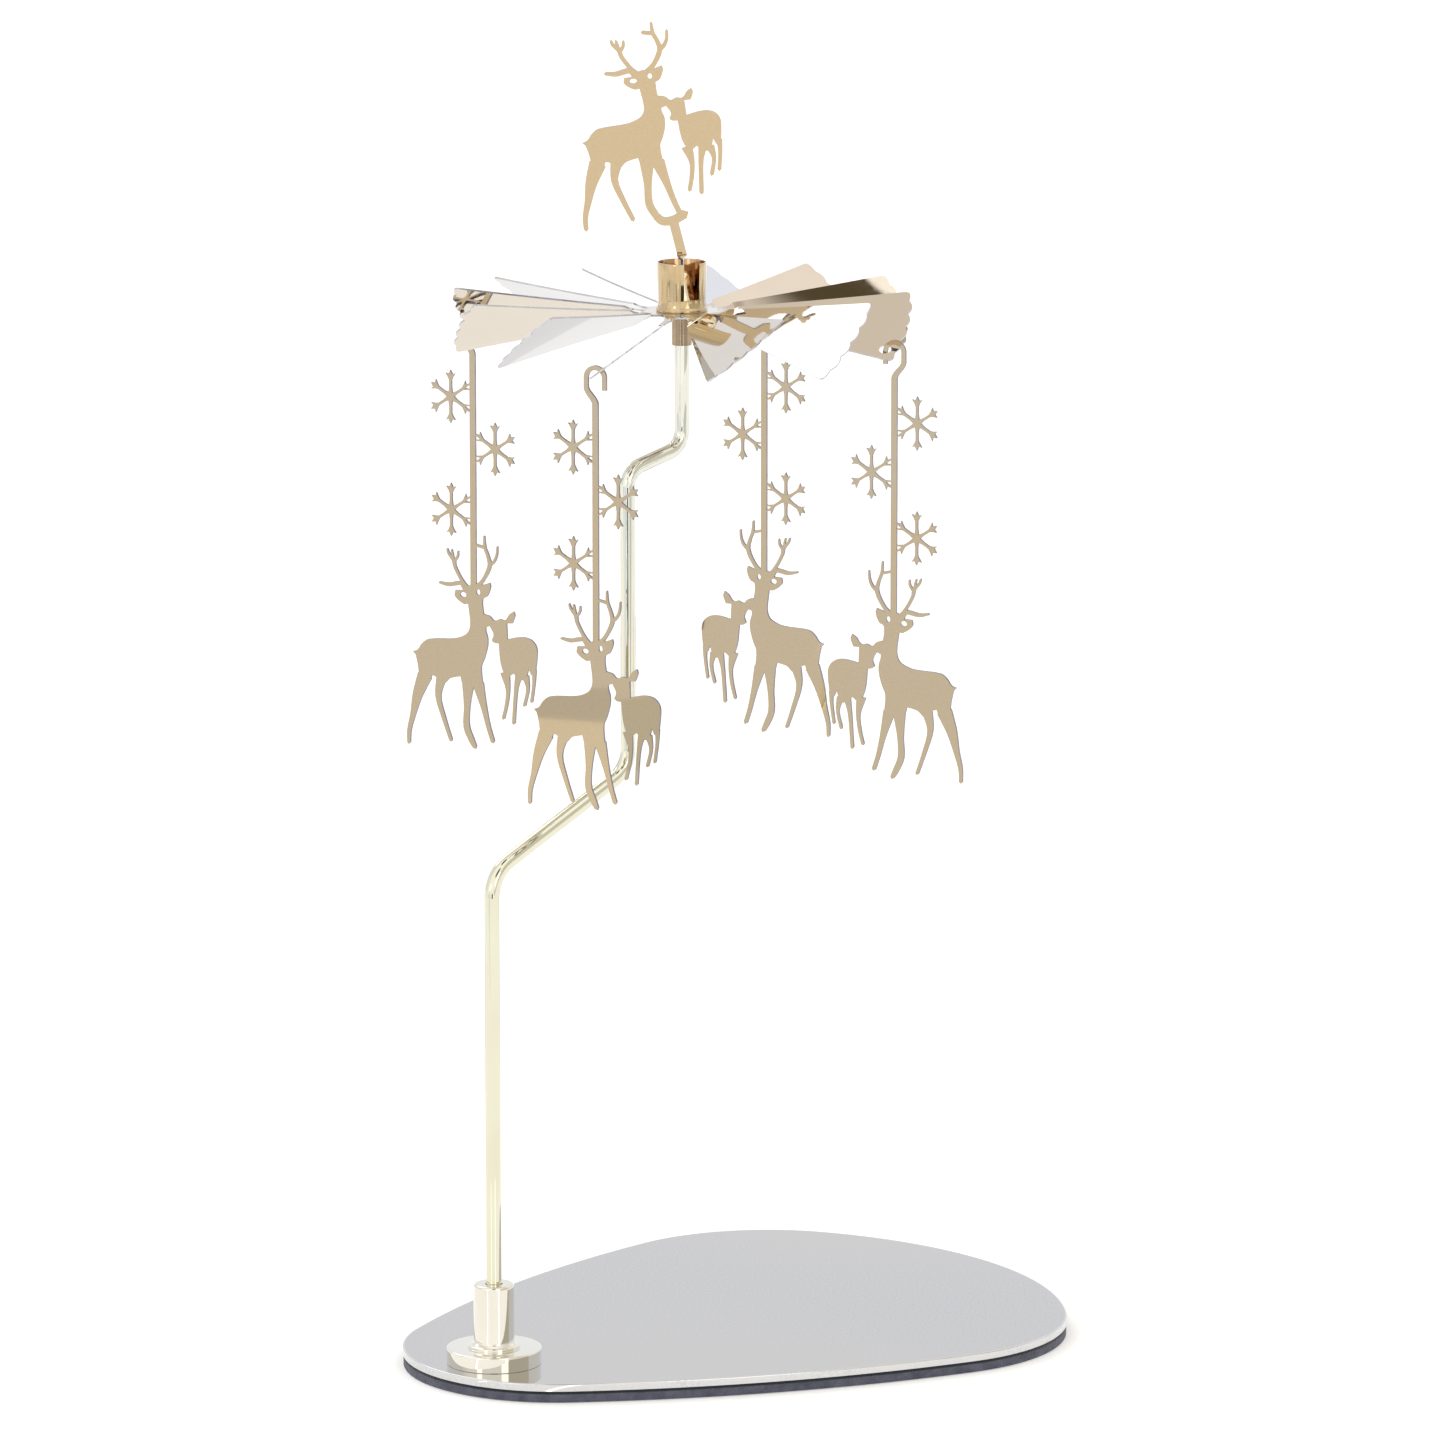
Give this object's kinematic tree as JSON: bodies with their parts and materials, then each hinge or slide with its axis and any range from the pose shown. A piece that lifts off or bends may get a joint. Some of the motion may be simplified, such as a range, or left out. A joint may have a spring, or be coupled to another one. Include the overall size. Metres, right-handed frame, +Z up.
{
  "type": "candle carousel",
  "caption": "Rotary candle holder: egg-shaped plate on foam, bent rod with a pivot point, twisted-blade rotor, hanging snowflake and deer ornaments and a deer figure on top.",
  "frame": {"origin": "on the foam pad's underside, straight below the rotor's axis", "axes": "+Z up along the rotor's axis, +X to the right and +Y away from the viewer of the picture"},
  "size_m": [0.1756, 0.1626, 0.3507],
  "materials": {
    "foam": "matte foam",
    "plate": "brushed champagne plating with a polished edge",
    "rod": "polished pale gold plating",
    "socket": "polished pale gold plating",
    "screw": "plain zinc",
    "bearing": "plain turned brass",
    "fan": "mirror polished gold",
    "cup": "polished gold",
    "ornament": "satin gold"
  },
  "bodies": {
    "stand": {"foam_pad": "foam", "base_plate": "plate", "base_screw": "screw", "rod_socket": "socket", "rod": "rod"},
    "bearing": {"pivot_bearing": "bearing"},
    "rotor": {"fan": "fan", "hub_cup": "cup", "lower_collar": "fan", "top_figure": "ornament"},
    "ornament_front_left": {"ornament_front_left": "ornament"},
    "ornament_left": {"ornament_left": "ornament"},
    "ornament_back_right": {"ornament_back_right": "ornament"},
    "ornament_right": {"ornament_right": "ornament"}
  },
  "joints": [
    {"name": "rotor_lift", "type": "slide", "parent": "stand", "child": "bearing", "axis": [0, 0, 1], "range_m": [0, 0.02]},
    {"name": "rotor_spin", "type": "hinge", "parent": "bearing", "child": "rotor", "pos_m": [0, 0, 0.2749], "axis": [0, 0, 1], "continuous": true},
    {"name": "ornament_right_swing", "type": "hinge", "parent": "rotor", "child": "ornament_right", "pos_m": [0.05465, -0.0202, 0.26733], "axis": [-0.3467, -0.938, 0], "range_deg": [-8, 40]},
    {"name": "ornament_back_right_swing", "type": "hinge", "parent": "rotor", "child": "ornament_back_right", "pos_m": [0.02159, 0.05172, 0.2656], "axis": [0.3853, 0.9228, 0], "range_deg": [-40, 40]},
    {"name": "ornament_left_swing", "type": "hinge", "parent": "rotor", "child": "ornament_left", "pos_m": [-0.05465, 0.0202, 0.26733], "axis": [0.3467, 0.938, 0], "range_deg": [-8, 40]},
    {"name": "ornament_front_left_swing", "type": "hinge", "parent": "rotor", "child": "ornament_front_left", "pos_m": [-0.02159, -0.05172, 0.2656], "axis": [-0.3853, -0.9228, 0], "range_deg": [-40, 40]}
  ]
}
